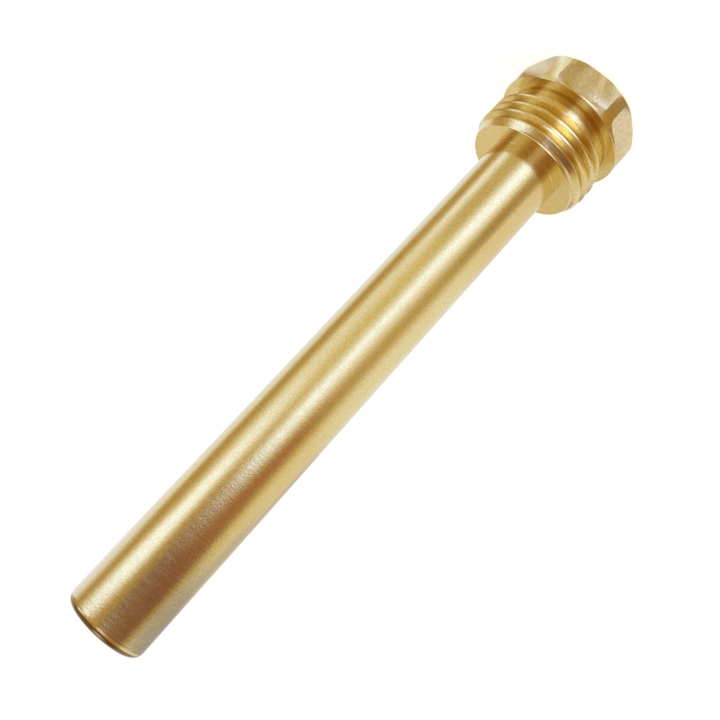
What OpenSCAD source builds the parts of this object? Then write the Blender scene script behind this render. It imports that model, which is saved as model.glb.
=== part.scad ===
// Thermowell: a brass immersion pocket turned from one round bar.
// A long closed stem hangs in the pipe and holds a temperature probe.
// A male G 1/2 thread screws into the pipe's boss up to a thin round collar,
// which seals on its flat underside. Six flats milled on the head take a spanner.
// Millimetres. The part stands on its head: Z = 0 is the face with the probe's
// mouth, and +Z runs along the axis to the closed tip. One flat faces -Y.

/* [Stem] */
// Outside diameter of the plain stem
stem_d = 12.3; // [11.2:0.1:15]
// Length from the sealing face of the collar to the closed tip
immersion_len = 100; // [50:1:300]
// Rounding between the stem's side and its flat closed end
tip_round_r = 1.2; // [0.3:0.1:2.5]

/* [Bore] */
// Diameter of the blind bore that takes the probe
bore_d = 10; // [6:0.1:10.8]
// Metal left between the point of the bore and the closed end
tip_wall = 2.5; // [1.5:0.1:6]
// Full angle of the drill point that ends the bore
drill_angle = 118; // [90:1:150]
// Chamfer at the bore's mouth, at 45 degrees
mouth_chamfer = 0.6; // [0.2:0.1:1.5]

/* [Thread] */
// Diameter over the crests of the G 1/2 thread
thread_d = 20.8; // [20:0.05:21]
// Length from the sealing face to the flat end of the thread
thread_reach = 9.8; // [8:0.1:16]
// Radial depth of the lead-in chamfer at the end of the thread
lead_in_depth = 1.1; // [0.6:0.05:1.5]
// Axial length of the lead-in chamfer
lead_in_len = 2.1; // [1:0.1:3]
// Diameter of the relief groove between thread and collar
relief_d = 17.8; // [16.5:0.1:19]
// Length of the relief groove's floor
relief_len = 2.4; // [1:0.1:3]
// Axial length of the slope from the groove's floor up to the crests
relief_slope_len = 0.9; // [0.4:0.1:1.5]

/* [Head] */
// Diameter of the collar and of the strips between the flats
head_d = 22; // [21.5:0.1:26]
// Length of the head, collar included
head_len = 6.5; // [5.5:0.1:14]
// Width across two opposite flats
across_flats = 20; // [18:0.1:21]
// Thickness of the collar in the middle of a flat
collar_len = 0.3; // [0.2:0.05:2]
// Radius of the cutter that ends each flat in a hollow curve
run_out_r = 1.6; // [0.6:0.1:2.5]
// Chamfer round the head's end face, at 45 degrees
end_chamfer = 0.9; // [0.3:0.1:1.5]

/* [Hidden] */
$fn = 96;
brass = [0.79, 0.65, 0.36];
flat_count = 6;
first_flat = -90;
cut_over = 1;

overall_len = head_len + immersion_len;
thread_end = head_len + thread_reach;
point_len = bore_d / 2 / tan(drill_angle / 2);
bore_len = overall_len - tip_wall - point_len;
flat_depth = (head_d - across_flats) / 2;
// How far the hollow curve climbs from the flat before it leaves the head's side
run_out_len = flat_depth < run_out_r
    ? sqrt(2 * run_out_r * flat_depth - flat_depth * flat_depth)
    : run_out_r;
flat_len = head_len - collar_len - run_out_len;

// Half section of the stem, with its rounded closed end
module stem_section() {
    square([stem_d / 2, overall_len - tip_round_r]);
    square([stem_d / 2 - tip_round_r, overall_len]);
    translate([stem_d / 2 - tip_round_r, overall_len - tip_round_r])
        circle(r = tip_round_r);
}

// Half section of the head, relief groove and threaded length over its crests
module head_section() {
    polygon([
        [0, 0],
        [head_d / 2 - end_chamfer, 0],
        [head_d / 2, end_chamfer],
        [head_d / 2, head_len],
        [relief_d / 2, head_len],
        [relief_d / 2, head_len + relief_len],
        [thread_d / 2, head_len + relief_len + relief_slope_len],
        [thread_d / 2, thread_end - lead_in_len],
        [thread_d / 2 - lead_in_depth, thread_end],
        [0, thread_end]
    ]);
}

// Everything that the lathe leaves on the outside
module turned_blank() {
    rotate_extrude() {
        stem_section();
        head_section();
    }
}

// Blind bore with its drill point and chamfered mouth
module probe_bore() {
    rotate_extrude()
        polygon([
            [0, -cut_over],
            [bore_d / 2 + mouth_chamfer + cut_over, -cut_over],
            [bore_d / 2, mouth_chamfer],
            [bore_d / 2, bore_len],
            [0, bore_len + point_len]
        ]);
}

// Metal that the cutter takes off for the flat that faces +X
module flat_cut() {
    translate([across_flats / 2, -head_d / 2, -cut_over])
        cube([head_d, head_d, cut_over + flat_len]);
    translate([across_flats / 2 + run_out_r, 0, flat_len])
        rotate([90, 0, 0])
            cylinder(r = run_out_r, h = head_d, center = true);
    translate([across_flats / 2 + run_out_r, -head_d / 2, -cut_over])
        cube([head_d, head_d, cut_over + flat_len + run_out_r]);
}

module thermowell() {
    color(brass)
        difference() {
            turned_blank();
            probe_bore();
            for (i = [0 : flat_count - 1])
                rotate([0, 0, first_flat + i * 360 / flat_count])
                    flat_cut();
        }
}

thermowell();
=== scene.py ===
"""Thermowell: a brass immersion pocket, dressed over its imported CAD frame.

The CAD model gives the size, the place and the collision. This script adds what the
solids leave out: the helical G 1/2 thread, the turned and milled brass surfaces, the
studio and the camera. The part stands on its head, with +Z along the stem.
"""
import math

import bmesh
import bpy
from mathutils import Matrix, Vector


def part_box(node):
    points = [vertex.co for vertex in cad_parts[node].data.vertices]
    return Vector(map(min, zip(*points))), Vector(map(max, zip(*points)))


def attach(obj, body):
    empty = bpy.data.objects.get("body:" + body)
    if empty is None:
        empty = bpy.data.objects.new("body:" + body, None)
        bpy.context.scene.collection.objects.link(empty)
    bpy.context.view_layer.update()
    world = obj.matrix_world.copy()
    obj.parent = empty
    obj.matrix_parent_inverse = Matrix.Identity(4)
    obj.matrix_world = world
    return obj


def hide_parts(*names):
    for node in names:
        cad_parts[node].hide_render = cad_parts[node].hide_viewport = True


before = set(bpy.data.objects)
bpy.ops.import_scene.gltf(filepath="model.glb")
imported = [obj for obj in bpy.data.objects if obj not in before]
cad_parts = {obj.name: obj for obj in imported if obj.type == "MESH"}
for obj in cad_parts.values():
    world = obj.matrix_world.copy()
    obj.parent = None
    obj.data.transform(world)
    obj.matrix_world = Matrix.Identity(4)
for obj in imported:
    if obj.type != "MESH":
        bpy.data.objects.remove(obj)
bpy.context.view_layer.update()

MM = 0.001

# ---------------------------------------------------------------- sizes, in mm
# The frame gives the length and the head's width; the rest are the solids' own sizes
BOX_LOW, BOX_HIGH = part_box("thermowell")
OVERALL = (BOX_HIGH[2] - BOX_LOW[2]) / MM
HEAD_R = (BOX_HIGH[0] - BOX_LOW[0]) / MM / 2
STEM_R = 6.15
TIP_ROUND = 1.2
BORE_R = 5.0
TIP_WALL = 2.5
DRILL_ANGLE = 118
MOUTH_CHAMFER = 0.6
HEAD_LEN = 6.5
FLAT_R = 10.0
COLLAR_LEN = 0.3
RUN_OUT_R = 1.6
END_CHAMFER = 0.9
RELIEF_R = 8.9
RELIEF_LEN = 2.4
RELIEF_SLOPE = 0.9
CREST_R = 10.4
THREAD_REACH = 9.8
LEAD_IN_DEPTH = 1.1
LEAD_IN_LEN = 2.1
# What the lathe leaves on the collar's edge and in the corners, too fine for the solids
EDGE_BREAK = 0.07
CORNER = 0.05
# A point this close to a boundary, in mm or degrees, lies on it
NEAR = 0.005
# How far under its surface a face's middle may lie, where the surface is curved
SAG = 0.1

THREAD_START = HEAD_LEN + RELIEF_LEN
THREAD_END = HEAD_LEN + THREAD_REACH
POINT_LEN = BORE_R / math.tan(math.radians(DRILL_ANGLE / 2))
RUN_OUT_LEN = math.sqrt(2 * RUN_OUT_R * (HEAD_R - FLAT_R) - (HEAD_R - FLAT_R) ** 2)
FLAT_LEN = HEAD_LEN - COLLAR_LEN - RUN_OUT_LEN
END_R = HEAD_R - END_CHAMFER

# Six flats with a strip of the round blank between them, as half angles in degrees
FLAT_HALF = math.degrees(math.acos(FLAT_R / HEAD_R))
FLATS = 6
FLAT_PITCH = 360 / FLATS
STRIP_HALF = FLAT_PITCH / 2 - FLAT_HALF
FIRST_FLAT = -90
# Least height of the chamfer and of the run-out on a flat, which keeps their faces open
LEAST_CHAMFER = 0.02
LEAST_RUN_OUT = 0.05

# G 1/2 thread: Whitworth form, 55 degrees, right-hand. FORM_R is the full form's crest,
# and ROOT_Z the height of a root at the first flat
PITCH = 1.814
FORM_R = 10.4775
FORM_DEPTH = 0.6403 * PITCH
FORM_ROUND = 0.1373 * PITCH
FLANK = math.radians(27.5)
ROOT_Z = 12.57

# Fineness of the mesh: steps round each arc, rows up the thread, the distance in mm at
# which points merge, and the least angle in degrees that shades as an edge
FLAT_STEPS = 34
STRIP_STEPS = 6
RUN_OUT_STEPS = 12
ROUND_STEPS = 8
THREAD_ROWS = 165
MERGE = 0.001
SHARP_ANGLE = 20


# ---------------------------------------------------------------- the turned blank
def turned_section():
    """Points (radius, height) of the lathe work: from the bore's drill point out through
    its mouth, up the outside and over the closed end."""
    points = [
        (0, OVERALL - TIP_WALL), (BORE_R, OVERALL - TIP_WALL - POINT_LEN),
        (BORE_R, MOUTH_CHAMFER), (BORE_R + MOUTH_CHAMFER, 0),
        (END_R, 0), (HEAD_R, END_CHAMFER), (HEAD_R, FLAT_LEN),
    ]
    for i in range(1, RUN_OUT_STEPS + 1):
        points.append((HEAD_R, FLAT_LEN + RUN_OUT_LEN * i / RUN_OUT_STEPS))
    points += [
        (HEAD_R, HEAD_LEN - EDGE_BREAK), (HEAD_R - EDGE_BREAK, HEAD_LEN),
        (RELIEF_R + CORNER, HEAD_LEN), (RELIEF_R, HEAD_LEN + CORNER),
        (RELIEF_R, THREAD_START),
    ]
    for i in range(1, THREAD_ROWS + 1):
        z = THREAD_START + (THREAD_END - THREAD_START) * i / THREAD_ROWS
        slope = RELIEF_R + (z - THREAD_START) * (CREST_R - RELIEF_R) / RELIEF_SLOPE
        lead_in = CREST_R - LEAD_IN_DEPTH * (1 - (THREAD_END - z) / LEAD_IN_LEN)
        points.append((min(slope, CREST_R, lead_in), z))
    points += [(STEM_R + CORNER, THREAD_END), (STEM_R, THREAD_END + CORNER)]
    for i in range(ROUND_STEPS + 1):
        a = math.pi / 2 * i / ROUND_STEPS
        points.append((STEM_R - TIP_ROUND + TIP_ROUND * math.cos(a),
                       OVERALL - TIP_ROUND + TIP_ROUND * math.sin(a)))
    points.append((0, OVERALL))
    return points


def turn_blank(bm):
    """Spins the section round the axis, with a column of vertices on each flat's edges."""
    start = Matrix.Rotation(math.radians(FIRST_FLAT - FLAT_HALF), 3, "Z")
    verts = [bm.verts.new(start @ Vector((r * MM, 0, z * MM))) for r, z in turned_section()]
    ring = verts + [bm.edges.new(pair) for pair in zip(verts, verts[1:])]
    for half, steps in ((FLAT_HALF, FLAT_STEPS), (STRIP_HALF, STRIP_STEPS)) * FLATS:
        spun = bmesh.ops.spin(bm, geom=ring, cent=(0, 0, 0), axis=(0, 0, 1),
                              angle=math.radians(2 * half), steps=steps, use_merge=False)
        ring = spun["geom_last"]
    bmesh.ops.remove_doubles(bm, verts=bm.verts, dist=MERGE * MM)
    bmesh.ops.recalc_face_normals(bm, faces=bm.faces)


def place_of(co):
    """A point's turn round the axis in degrees, its radius and its height in mm."""
    return math.degrees(math.atan2(co.y, co.x)), math.hypot(co.x, co.y) / MM, co.z / MM


def move_to(vert, turn, r, z):
    a = math.radians(turn)
    vert.co = Vector((r * math.cos(a), r * math.sin(a), z)) * MM


def off_flat(turn):
    """Angle from the middle of the nearest flat, in degrees."""
    return (turn - FIRST_FLAT + FLAT_PITCH / 2) % FLAT_PITCH - FLAT_PITCH / 2


def mill_flats(bm):
    """Presses the blank's side in to the six flats and the hollow run-outs that the
    milling cutter leaves before the collar."""
    for v in bm.verts:
        turn, r, z = place_of(v.co)
        off = off_flat(turn)
        if r < END_R - NEAR or z > HEAD_LEN - COLLAR_LEN + NEAR or abs(off) > FLAT_HALF + NEAR:
            continue
        c = math.cos(math.radians(off))
        depth = max(HEAD_R * c - FLAT_R, 0)
        if z < FLAT_LEN - NEAR:
            side = min(r, FLAT_R / c)
            if z < NEAR:
                height = 0
            elif z < END_CHAMFER + NEAR:
                height = max(side - END_R, LEAST_CHAMFER)
            else:
                height = z
            move_to(v, turn, side, height)
        else:
            share = (z - FLAT_LEN) / RUN_OUT_LEN
            climb = max(math.sqrt(2 * RUN_OUT_R * depth - depth ** 2), LEAST_RUN_OUT)
            up = climb * math.sin(math.pi / 2 * share)
            hollow = FLAT_R + RUN_OUT_R - math.sqrt(RUN_OUT_R ** 2 - up ** 2)
            move_to(v, turn, min(hollow / c, HEAD_R), FLAT_LEN + up)


# ---------------------------------------------------------------- the thread
def thread_radius(turn, z):
    """Radius of the full Whitworth form at a turn and height."""
    climb = PITCH * (turn - FIRST_FLAT) / 360
    from_root = (z - ROOT_Z - climb) % PITCH
    from_root = min(from_root, PITCH - from_root)
    from_crest = PITCH / 2 - from_root
    arc_half = FORM_ROUND * math.cos(FLANK)
    if from_root < arc_half:
        return FORM_R - FORM_DEPTH + FORM_ROUND - math.sqrt(FORM_ROUND ** 2 - from_root ** 2)
    if from_crest < arc_half:
        return FORM_R - FORM_ROUND + math.sqrt(FORM_ROUND ** 2 - from_crest ** 2)
    return FORM_R - FORM_DEPTH / 2 + (from_root - PITCH / 4) / math.tan(FLANK)


def cut_thread(bm):
    """Presses the cylinder over the crests in to the thread's form. The lead-in cone and
    the slope up from the relief cut the form off, as the lathe tool does."""
    for v in bm.verts:
        turn, r, z = place_of(v.co)
        if THREAD_START < z < THREAD_END - NEAR and r > RELIEF_R:
            move_to(v, turn, min(r, thread_radius(turn, z)), z)


# ---------------------------------------------------------------- edges and finishes
FINISHES = ["brass_polished", "brass_turned", "brass_milled"]


def finish_of(face):
    """The finish that a face of the body has, by where it lies."""
    turn, r, z = place_of(face.calc_center_median())
    if z > THREAD_END and r > BORE_R + SAG:
        return "brass_polished"
    on_head = LEAST_CHAMFER < z < HEAD_LEN - COLLAR_LEN and r > FLAT_R - SAG
    on_chamfer = z < END_CHAMFER and face.normal.z < -0.5
    if on_head and not on_chamfer and abs(off_flat(turn)) < FLAT_HALF:
        return "brass_milled"
    return "brass_turned"


def mark_edges(bm):
    """Smooth shading everywhere but at the tool's own edges. The thread stays smooth,
    because its rows are finer than its roundings."""
    for face in bm.faces:
        face.smooth = True
        face.material_index = FINISHES.index(finish_of(face))
    for edge in bm.edges:
        heights = [v.co.z / MM for v in edge.verts]
        in_thread = min(heights) > THREAD_START + NEAR and max(heights) < THREAD_END - NEAR
        if not in_thread and edge.calc_face_angle(0) > math.radians(SHARP_ANGLE):
            edge.smooth = False


def add_object(name, bm, *materials):
    """Turns a finished bmesh into an object at the origin."""
    mesh = bpy.data.meshes.new(name)
    bm.to_mesh(mesh)
    bm.free()
    for material in materials:
        mesh.materials.append(material)
    made = bpy.data.objects.new(name, mesh)
    bpy.context.scene.collection.objects.link(made)
    return made


def make_body():
    bm = bmesh.new()
    turn_blank(bm)
    mill_flats(bm)
    cut_thread(bm)
    bmesh.ops.recalc_face_normals(bm, faces=bm.faces)
    mark_edges(bm)
    finishes = brass_finishes()
    body = add_object("thermowell_body", bm, *[finishes[name] for name in FINISHES])
    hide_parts("thermowell")
    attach(body, "root")


# ---------------------------------------------------------------- nodes
def linear(hex_colour, gain=1.0):
    """sRGB hex such as "d8b45a" as linear RGBA, times a gain."""
    parts = [int(hex_colour[i:i + 2], 16) / 255 for i in (0, 2, 4)]
    lin = [p / 12.92 if p <= 0.04045 else ((p + 0.055) / 1.055) ** 2.4 for p in parts]
    return (*[gain * p for p in lin], 1.0)


def node(tree, kind, settings=None, **inputs):
    """Adds a node, with its settings, and sets or links its inputs. An input goes by its
    name with _ for a space, or by i and its number."""
    made = tree.nodes.new(kind)
    for key, value in (settings or {}).items():
        setattr(made, key, value)
    for key, value in inputs.items():
        by_number = key[0] == "i" and key[1:].isdigit()
        socket = made.inputs[int(key[1:]) if by_number else key.replace("_", " ")]
        if isinstance(value, bpy.types.NodeSocket):
            tree.links.new(value, socket)
        else:
            socket.default_value = value
    return made


def new_tree(name):
    material = bpy.data.materials.new(name)
    material.use_nodes = True
    material.node_tree.nodes.clear()
    return material, material.node_tree


# The noise keeps mostly to the middle of 0 to 1. The colour and the tool's marks each
# spread a stretch of it out over their whole range.
COLOUR_SPREAD = (0.35, 0.65)
MARK_SPREAD = (0.3, 0.7)
# Painted shade thins out over this many mm across the axis, and over half as many along it
PAINTED_SHADE_FADE = 0.45


def streaks(tree, place, across_mm, along_mm):
    """Noise from 0 to 1 whose grains measure so much across the axis and along it."""
    scaled = node(tree, "ShaderNodeVectorMath", {"operation": "MULTIPLY"}, i0=place,
                  i1=(1 / (across_mm * MM), 1 / (across_mm * MM), 1 / (along_mm * MM)))
    noise = node(tree, "ShaderNodeTexNoise", Vector=scaled.outputs[0], Scale=1.0,
                 Detail=1.0, Roughness=0.5)
    return noise.outputs["Fac"]


def ramp_between(tree, value, low, high):
    """0 below low, 1 above high, and smooth between them; high may lie below low."""
    made = node(tree, "ShaderNodeMapRange", {"interpolation_type": "SMOOTHSTEP"},
                Value=value, i1=low, i2=high)
    return made.outputs[0]


def painted_shade_mask(tree, place, reach, low, high):
    """Mask of painted shade: 1 nearer the axis than reach and between the heights low and
    high, 0 elsewhere.
    """
    xyz = node(tree, "ShaderNodeSeparateXYZ", Vector=place).outputs
    flat = node(tree, "ShaderNodeCombineXYZ", i0=xyz["X"], i1=xyz["Y"])
    radius = node(tree, "ShaderNodeVectorMath", {"operation": "LENGTH"}, i0=flat.outputs[0])
    inside = ramp_between(tree, radius.outputs["Value"], reach * MM,
                          (reach - PAINTED_SHADE_FADE) * MM)
    above = ramp_between(tree, xyz["Z"], low * MM, (low + PAINTED_SHADE_FADE / 2) * MM)
    below = ramp_between(tree, xyz["Z"], high * MM, (high - PAINTED_SHADE_FADE / 2) * MM)
    band = node(tree, "ShaderNodeMath", {"operation": "MULTIPLY"}, i0=above, i1=below)
    share = node(tree, "ShaderNodeMath", {"operation": "MULTIPLY"}, i0=inside,
                 i1=band.outputs[0])
    return share.outputs[0]


def brass(name, bright, dull, fleck, gloss, marks, grain, relief_mm, painted_shade_bands):
    """Bare brass (CuZn39Pb3). bright and dull are the ends of its colour and fleck the
    size of the change between them; gloss is the least and greatest roughness; marks and
    grain are the sizes of the tool's marks. Sizes are (across, along) the axis in mm.
    The last argument lists bands of painted shade, as (its colour, radius, low end, high end)."""
    material, tree = new_tree(name)
    place = node(tree, "ShaderNodeTexCoord").outputs["Object"]
    share = node(tree, "ShaderNodeMapRange", Value=streaks(tree, place, *fleck),
                 i1=COLOUR_SPREAD[0], i2=COLOUR_SPREAD[1])
    colour = node(tree, "ShaderNodeMix", {"data_type": "RGBA"}, i0=share.outputs[0],
                  i6=linear(bright), i7=linear(dull)).outputs[2]
    # Each band darkens the colour to a painted shade
    for shade_colour, *band in painted_shade_bands:
        colour = node(tree, "ShaderNodeMix", {"data_type": "RGBA"},
                      i0=painted_shade_mask(tree, place, *band), i6=colour, i7=linear(shade_colour)).outputs[2]
    tool = streaks(tree, place, *marks)
    height = node(tree, "ShaderNodeMath", {"operation": "MULTIPLY_ADD"}, i0=tool, i1=0.5,
                  i2=streaks(tree, place, *grain))
    rough = node(tree, "ShaderNodeMapRange", Value=tool, i1=MARK_SPREAD[0],
                 i2=MARK_SPREAD[1], i3=gloss[0], i4=gloss[1])
    relief = node(tree, "ShaderNodeBump", Height=height.outputs[0], Strength=1.0,
                  Distance=relief_mm * MM)
    skin = node(tree, "ShaderNodeBsdfPrincipled", Base_Color=colour, Metallic=1.0,
                Roughness=rough.outputs[0], Normal=relief.outputs[0])
    node(tree, "ShaderNodeOutputMaterial", Surface=skin.outputs[0])
    return material


# Bands of painted shade, in mm: its colour, inside a radius, between two heights. A deeper
# gold paints the shade in the thread's roots and in the relief's corner
PAINTED_SHADE_IN_HOLLOWS = [("dcbd6e", 9.9, THREAD_START + 0.6, THREAD_END - 0.9),
        ("d0a74c", RELIEF_R + 0.4, HEAD_LEN - COLLAR_LEN, HEAD_LEN + 0.5)]
# Dark brown paints a shade along the rounded edge of the closed end
PAINTED_SHADE_ON_TIP_EDGE = [("80602f", HEAD_R, OVERALL - 0.9, OVERALL + 1)]


def brass_finishes():
    """The three finishes by name. The real grain, rings and streaks are finer, and are
    drawn as coarse as they need to show."""
    return {
        # Drawn stem, polished on a belt: satin, with a fine even grain, and a dark brown painted
        # shade along the rounded edge of its closed end
        "brass_polished": brass(
            "brass_polished", bright="ead28f", dull="e1c77e", fleck=(0.26, 0.3),
            gloss=(0.16, 0.21), marks=(2.5, 0.3), grain=(0.24, 0.26), relief_mm=0.009,
            painted_shade_bands=PAINTED_SHADE_ON_TIP_EDGE),
        # Turned thread, collar and ends: brighter, with the lathe tool's rings, and a deep gold
        # painted shade in the roots of the thread and the relief's corner
        "brass_turned": brass(
            "brass_turned", bright="ebd38f", dull="e0c67c", fleck=(0.4, 0.3),
            gloss=(0.14, 0.21), marks=(4.0, 0.16), grain=(0.4, 0.3), relief_mm=0.006,
            painted_shade_bands=PAINTED_SHADE_IN_HOLLOWS),
        # Milled flats: fine streaks and bright flecks that the cutter leaves
        "brass_milled": brass(
            "brass_milled", bright="eedba4", dull="dac289", fleck=(0.2, 0.9),
            gloss=(0.19, 0.29), marks=(0.26, 3.5), grain=(0.2, 0.7), relief_mm=0.015,
            painted_shade_bands=[]),
    }


# ---------------------------------------------------------------- studio
# The paper's half width in mm, and the strengths of its glow, the room and the lamp
FLOOR_HALF = 20000.0
FLOOR_GLOW = 0.62
ROOM_LIGHT = 0.32
OVERHEAD_LIGHT = 0.8
# In degrees: how wide the overhead lamp looks, and its tilt about X and Y
LAMP_WIDTH = 60
LAMP_TILT = (25, -20)


def shown_white(tree, hidden, seen):
    """A strength for a surface that the eye and mirrors should see as white: seen for
    them, and hidden for the light that it throws on other things."""
    rays = node(tree, "ShaderNodeLightPath").outputs
    direct = node(tree, "ShaderNodeMath", {"operation": "MAXIMUM"},
                  i0=rays["Is Camera Ray"], i1=rays["Is Glossy Ray"])
    either = node(tree, "ShaderNodeMath", {"operation": "MAXIMUM"},
                  i0=direct.outputs[0], i1=rays["Is Transmission Ray"])
    level = node(tree, "ShaderNodeMapRange", Value=either.outputs[0], i3=hidden, i4=seen)
    return level.outputs[0]


def white_paper():
    """White paper: it reaches white for the eye, and still takes a soft shadow."""
    material, tree = new_tree("white_paper")
    lit = node(tree, "ShaderNodeBsdfDiffuse", Color=linear("f2f2f0"))
    glow = node(tree, "ShaderNodeEmission", Color=linear("ffffff"),
                Strength=shown_white(tree, 0.0, FLOOR_GLOW))
    both = node(tree, "ShaderNodeAddShader", i0=lit.outputs[0], i1=glow.outputs[0])
    node(tree, "ShaderNodeOutputMaterial", Surface=both.outputs[0])
    return material


def make_floor():
    bm = bmesh.new()
    bmesh.ops.create_grid(bm, x_segments=1, y_segments=1, size=FLOOR_HALF * MM)
    add_object("floor", bm, white_paper())


def make_world():
    world = bpy.data.worlds.new("soft_room")
    world.use_nodes = True
    tree = world.node_tree
    tree.nodes.clear()
    sky = node(tree, "ShaderNodeBackground", Color=linear("ffffff"),
               Strength=shown_white(tree, ROOM_LIGHT, 1.0))
    node(tree, "ShaderNodeOutputWorld", Surface=sky.outputs[0])
    bpy.context.scene.world = world


def make_overhead_lamp():
    """A wide overhead light that throws the soft shadow on the paper."""
    lamp = bpy.data.lights.new("overhead", "SUN")
    lamp.energy = OVERHEAD_LIGHT
    lamp.angle = math.radians(LAMP_WIDTH)
    made = bpy.data.objects.new("overhead", lamp)
    made.rotation_euler = (math.radians(LAMP_TILT[0]), math.radians(LAMP_TILT[1]), 0)
    made.visible_glossy = False
    bpy.context.scene.collection.objects.link(made)


# The light tent is a drum of panels round the part, with a ground sheet just over the
# paper and a ceiling, that only reflections see, as a studio stands white, sand and brown
# card round a metal piece. CAMERA_TURN is the camera's side, in degrees about Z.
TENT_R = 3000.0
TENT_TOP = 5000.0
TENT_SIDES = 96
GROUND_GAP = 0.2
CAMERA_TURN = -97.46
# The cloth glows at this strength, and a tone takes its gain's share of it
BRIGHTEST = 4.6
# Each tone is a colour and a gain; at a gain of 1 the colour shows as it is written
TONES = {
    "blaze": ("bcc8ff", 4.5), "lamp": ("a9bcff", 3.1), "glare": ("b8c8ff", 2.3),
    "strip": ("c9d6ff", 1.6), "white": ("dce5ff", 1.3), "pale": ("ecebf4", 1.05),
    "linen": ("dedbd8", 1.0), "cream": ("e6dfc0", 1.0), "sand": ("d4c8ac", 1.0),
    "gold": ("c6b48c", 1.0), "honey": ("dac388", 1.0), "brown": ("bea46c", 1.0),
    "amber": ("b59558", 1.0), "bronze": ("b09a7c", 1.0), "umber": ("b08066", 1.0),
    "silver": ("ced2f0", 1.0), "ash": ("b0b1d2", 1.0), "plum": ("84605e", 1.0),
}
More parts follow.
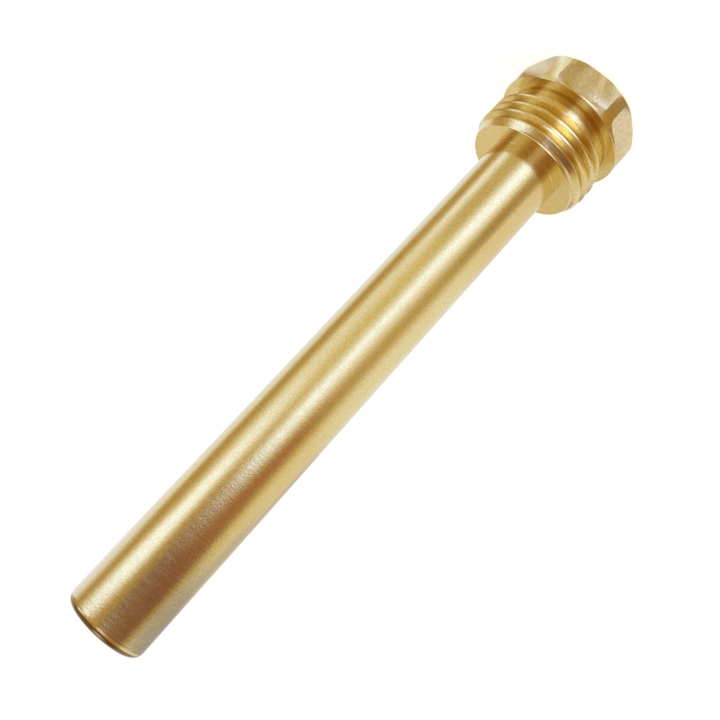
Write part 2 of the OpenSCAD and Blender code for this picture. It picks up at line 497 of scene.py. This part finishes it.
# Panels as (degrees from the camera's side, tone), level by level. A level starts at the
# first of its two distances and is whole at the second, in mm run outwards from the axis
# along the ground and then up the wall.
TENT_LEVELS = [
    # The ground round the head, which the flats and the relief show
    (None, [
        (-180, "pale"), (-42, "pale"), (-35, "bronze"), (-23, "bronze"), (-18, "white"),
        (-12, "white"), (-8, "linen"), (-3, "sand"), (2, "pale"), (7, "sand"), (15, "linen"),
        (21, "gold"), (27, "gold"), (34, "white"), (42, "strip"), (46, "glare"), (50, "white"),
        (55, "linen"), (65, "linen"), (74, "pale"), (180, "pale")]),
    ((12.4, 13.2), [
        (-180, "pale"), (-42, "pale"), (-35, "bronze"), (-23, "bronze"), (-18, "white"),
        (-12, "white"), (-8, "linen"), (-3, "sand"), (2, "pale"), (7, "sand"), (15, "linen"),
        (21, "gold"), (27, "gold"), (34, "white"), (42, "strip"), (46, "glare"), (50, "white"),
        (56, "linen"), (66, "cream"), (74, "amber"), (98, "amber"), (110, "pale"), (180, "pale")]),
    ((14.7, 16.0), [
        (-180, "pale"), (-92, "pale"), (-76, "cream"), (-64, "amber"), (-34, "amber"),
        (-24, "bronze"), (-16, "pale"), (-9, "white"), (-4, "lamp"), (2, "lamp"), (7, "sand"),
        (27, "gold"), (34, "white"), (42, "strip"), (46, "glare"), (50, "white"), (56, "linen"),
        (66, "cream"), (74, "amber"), (98, "amber"), (110, "pale"), (180, "pale")]),
    # The ground that the thread shows
    ((17.5, 19.0), [
        (-180, "pale"), (-92, "pale"), (-76, "cream"), (-64, "amber"), (-34, "amber"),
        (-24, "sand"), (-15, "white"), (-9, "lamp"), (4, "lamp"), (10, "honey"), (42, "honey"),
        (56, "cream"), (66, "strip"), (80, "strip"), (94, "amber"), (124, "amber"),
        (142, "sand"), (160, "pale"), (180, "pale")]),
    ((21.5, 24.5), [
        (-180, "pale"), (-92, "pale"), (-76, "cream"), (-64, "amber"), (-38, "amber"),
        (-30, "sand"), (-22, "lamp"), (-15, "blaze"), (1, "blaze"), (7, "lamp"), (12, "honey"),
        (42, "honey"), (56, "cream"), (66, "strip"), (80, "strip"), (94, "amber"),
        (124, "amber"), (142, "sand"), (160, "pale"), (180, "pale")]),
    # Further out, for the stem from its root upwards
    ((28, 36), [
        (-180, "pale"), (-70, "pale"), (-59, "gold"), (-47, "bronze"), (-36, "gold"),
        (-24, "white"), (-12, "lamp"), (2, "lamp"), (12, "white"), (24, "sand"), (48, "sand"),
        (59, "white"), (71, "glare"), (82, "sand"), (94, "brown"), (106, "gold"),
        (118, "white"), (130, "strip"), (154, "white"), (166, "pale"), (180, "pale")]),
    ((75, 115), [
        (-180, "pale"), (-157, "white"), (-85, "white"), (-72, "pale"), (-60, "sand"),
        (-48, "gold"), (-36, "sand"), (-24, "pale"), (-11, "glare"), (-2, "lamp"), (2, "lamp"),
        (12, "strip"), (24, "cream"), (38, "cream"), (48, "pale"), (60, "white"), (74, "white"),
        (85, "sand"), (97, "brown"), (109, "gold"), (121, "white"), (145, "strip"),
        (157, "white"), (169, "pale"), (180, "pale")]),
    ((500, 1500), [
        (-180, "pale"), (-162, "linen"), (-144, "silver"), (-124, "pale"), (-84, "pale"),
        (-72, "cream"), (-60, "gold"), (-48, "umber"), (-34, "umber"), (-24, "sand"),
        (-11, "glare"), (-3, "lamp"), (3, "lamp"), (12, "white"), (24, "sand"), (36, "white"),
        (46, "glare"), (60, "glare"), (74, "pale"), (85, "sand"), (97, "brown"), (109, "gold"),
        (121, "white"), (145, "strip"), (157, "white"), (180, "pale")]),
    # Low on the wall, for the last quarter of the stem
    ((3210, 3350), [
        (-180, "cream"), (-155, "cream"), (-146, "silver"), (-120, "silver"), (-97, "pale"),
        (-73, "cream"), (-60, "bronze"), (-48, "umber"), (-24, "umber"), (0, "bronze"),
        (14, "bronze"), (26, "brown"), (36, "pale"), (46, "lamp"), (60, "lamp"), (73, "cream"),
        (85, "gold"), (97, "brown"), (109, "gold"), (121, "white"), (145, "strip"),
        (169, "pale"), (180, "pale")]),
    ((3520, 3700), [
        (-180, "linen"), (-166, "sand"), (-152, "ash"), (-84, "ash"), (-73, "bronze"),
        (-60, "plum"), (2, "plum"), (16, "bronze"), (26, "gold"), (35, "white"), (44, "lamp"),
        (66, "lamp"), (78, "pale"), (88, "gold"), (97, "brown"), (121, "strip"), (157, "strip"),
        (180, "pale")]),
    # For the lead-in cone
    ((4020, 4160), [
        (-180, "cream"), (-160, "linen"), (-140, "pale"), (-84, "white"), (-68, "sand"),
        (-58, "plum"), (2, "plum"), (14, "brown"), (30, "amber"), (44, "amber"), (53, "pale"),
        (61, "strip"), (70, "brown"), (92, "bronze"), (106, "umber"), (124, "umber"),
        (138, "cream"), (180, "cream")]),
    ((4220, 4320), [
        (-180, "cream"), (-160, "linen"), (-140, "pale"), (-84, "white"), (-68, "sand"),
        (-58, "bronze"), (-44, "bronze"), (-30, "gold"), (-12, "sand"), (-6, "strip"),
        (4, "strip"), (10, "gold"), (18, "brown"), (30, "amber"), (44, "amber"), (53, "pale"),
        (61, "strip"), (70, "brown"), (92, "bronze"), (106, "umber"), (124, "umber"),
        (138, "cream"), (180, "cream")]),
    # For the shoulder and the stem's root, which mirror each other
    ((4640, 4800), [
        (-180, "linen"), (-160, "linen"), (-140, "pale"), (-84, "white"), (-68, "sand"),
        (-58, "umber"), (24, "umber"), (36, "honey"), (48, "pale"), (60, "white"),
        (68, "honey"), (74, "white"), (87, "white"), (92, "amber"), (112, "amber"),
        (126, "cream"), (140, "pale"), (180, "pale")]),
    # For the relief's corner at the collar
    ((4990, 5090), [
        (-180, "linen"), (-160, "linen"), (-140, "pale"), (-84, "white"), (-68, "sand"),
        (-58, "umber"), (-28, "umber"), (-18, "cream"), (-10, "lamp"), (6, "lamp"),
        (14, "brown"), (30, "brown"), (48, "brown"), (62, "honey"), (70, "lamp"), (90, "lamp"),
        (98, "amber"), (112, "amber"), (126, "cream"), (140, "pale"), (180, "pale")]),
    # The top of the wall
    ((5350, 5870), [
        (-180, "pale"), (-100, "pale"), (-70, "bronze"), (60, "bronze"), (100, "honey"),
        (114, "cream"), (121, "amber"), (128, "brown"), (150, "pale"), (180, "pale")]),
]
# Ceiling panels as (mm to the left of the camera's side, tone); they lie over the part,
# and the ceiling turns to plain amber towards the camera and away from it
CEILING_PANELS = [(-3000, "pale"), (-2700, "cream"), (-2400, "brown"), (-1350, "amber"),
                  (-1000, "pale"), (-650, "lamp"), (-450, "blaze"), (200, "blaze"),
                  (400, "lamp"), (650, "honey"), (1800, "honey"), (2250, "cream"),
                  (3000, "cream")]
CEILING_NEAR = (1200, 1700)
CEILING_FAR = (-1300, -2000)


def panel_colours(tree, share, span, panels):
    """The colour along a list of panels, whose places run from -span to span."""
    ramp = node(tree, "ShaderNodeValToRGB", Fac=share)
    stops = ramp.color_ramp.elements
    while len(stops) > 1:
        stops.remove(stops[-1])
    for i, (place, tone) in enumerate(panels):
        position = (place + span) / (2 * span)
        stop = stops.new(position) if i else stops[0]
        stop.position = position
        colour, gain = TONES[tone]
        stop.color = linear(colour, gain / BRIGHTEST)
    return ramp.outputs["Color"]


def from_camera_side(tree):
    """X towards the camera's side, Y to its left, Z up."""
    place = node(tree, "ShaderNodeTexCoord").outputs["Object"]
    faced = node(tree, "ShaderNodeVectorRotate", {"rotation_type": "Z_AXIS"}, Vector=place,
                 Angle=math.radians(-CAMERA_TURN))
    return node(tree, "ShaderNodeSeparateXYZ", Vector=faced.outputs[0]).outputs


def glowing(tree, colour):
    glow = node(tree, "ShaderNodeEmission", Color=colour, Strength=BRIGHTEST)
    node(tree, "ShaderNodeOutputMaterial", Surface=glow.outputs[0])


def tent_cloth():
    material, tree = new_tree("tent_cloth")
    xyz = from_camera_side(tree)
    angle = node(tree, "ShaderNodeMath", {"operation": "ARCTAN2"}, i0=xyz["Y"], i1=xyz["X"])
    turn = node(tree, "ShaderNodeMapRange", Value=angle.outputs[0], i1=-math.pi, i2=math.pi)
    flat = node(tree, "ShaderNodeCombineXYZ", i0=xyz["X"], i1=xyz["Y"])
    radius = node(tree, "ShaderNodeVectorMath", {"operation": "LENGTH"}, i0=flat.outputs[0])
    run = node(tree, "ShaderNodeMath", {"operation": "ADD"}, i0=radius.outputs["Value"],
               i1=xyz["Z"])
    colour = None
    for ends, panels in TENT_LEVELS:
        level = panel_colours(tree, turn.outputs[0], 180, panels)
        if ends:
            share = ramp_between(tree, run.outputs[0], *[end * MM for end in ends])
            level = node(tree, "ShaderNodeMix", {"data_type": "RGBA"}, i0=share, i6=colour,
                         i7=level).outputs[2]
        colour = level
    glowing(tree, colour)
    return material


def ceiling_cloth():
    material, tree = new_tree("ceiling_cloth")
    xyz = from_camera_side(tree)
    across = node(tree, "ShaderNodeMapRange", Value=xyz["Y"], i1=-TENT_R * MM, i2=TENT_R * MM)
    panels = panel_colours(tree, across.outputs[0], TENT_R, CEILING_PANELS)
    near = ramp_between(tree, xyz["X"], *[end * MM for end in CEILING_NEAR])
    far = ramp_between(tree, xyz["X"], *[end * MM for end in CEILING_FAR])
    outside = node(tree, "ShaderNodeMath", {"operation": "MAXIMUM"}, i0=near, i1=far)
    colour, gain = TONES["amber"]
    glowing(tree, node(tree, "ShaderNodeMix", {"data_type": "RGBA"}, i0=outside.outputs[0],
                       i6=panels, i7=linear(colour, gain / BRIGHTEST)).outputs[2])
    return material


def seen_by_reflections_only(made):
    for kind in ("camera", "diffuse", "transmission", "volume_scatter", "shadow"):
        setattr(made, "visible_" + kind, False)


def make_tent():
    bm = bmesh.new()
    bmesh.ops.create_circle(bm, cap_ends=True, segments=TENT_SIDES, radius=TENT_R * MM)
    bmesh.ops.translate(bm, verts=bm.verts, vec=(0, 0, GROUND_GAP * MM))
    wall = bmesh.ops.extrude_edge_only(bm, edges=bm.edges[:])["geom"]
    top = [v for v in wall if isinstance(v, bmesh.types.BMVert)]
    bmesh.ops.translate(bm, verts=top, vec=(0, 0, TENT_TOP * MM))
    seen_by_reflections_only(add_object("light_tent", bm, tent_cloth()))
    bm = bmesh.new()
    bmesh.ops.create_circle(bm, cap_ends=True, segments=TENT_SIDES, radius=TENT_R * MM)
    bmesh.ops.translate(bm, verts=bm.verts, vec=(0, 0, TENT_TOP * MM))
    seen_by_reflections_only(add_object("light_ceiling", bm, ceiling_cloth()))


# ---------------------------------------------------------------- camera
# Where it stands and what it looks at, in mm; its roll in degrees; its lens
CAMERA_MM = Vector((-14.38, -109.75, 80.96))
AIM_MM = Vector((1.78, -0.26, 49.93))
CAMERA_ROLL = 137.24
LENS_MM = 38.33
SENSOR_MM = 36
LENS_SHIFT = (-0.0232, -0.068)
NEAREST_MM = 5


def make_camera():
    data = bpy.data.cameras.new("main_view")
    data.lens = LENS_MM
    data.sensor_width = SENSOR_MM
    data.shift_x, data.shift_y = LENS_SHIFT
    data.clip_start = NEAREST_MM * MM
    camera = bpy.data.objects.new("main_view", data)
    ahead = (AIM_MM - CAMERA_MM).normalized()
    level_right = ahead.cross(Vector((0, 0, 1))).normalized()
    right = Matrix.Rotation(math.radians(CAMERA_ROLL), 3, ahead) @ level_right
    turned = Matrix((right, right.cross(ahead), -ahead)).transposed()
    camera.matrix_world = Matrix.Translation(CAMERA_MM * MM) @ turned.to_4x4()
    bpy.context.scene.collection.objects.link(camera)
    bpy.context.scene.camera = camera


make_body()
make_floor()
make_world()
make_overhead_lamp()
make_tent()
make_camera()
bpy.context.scene.view_settings.view_transform = "Standard"
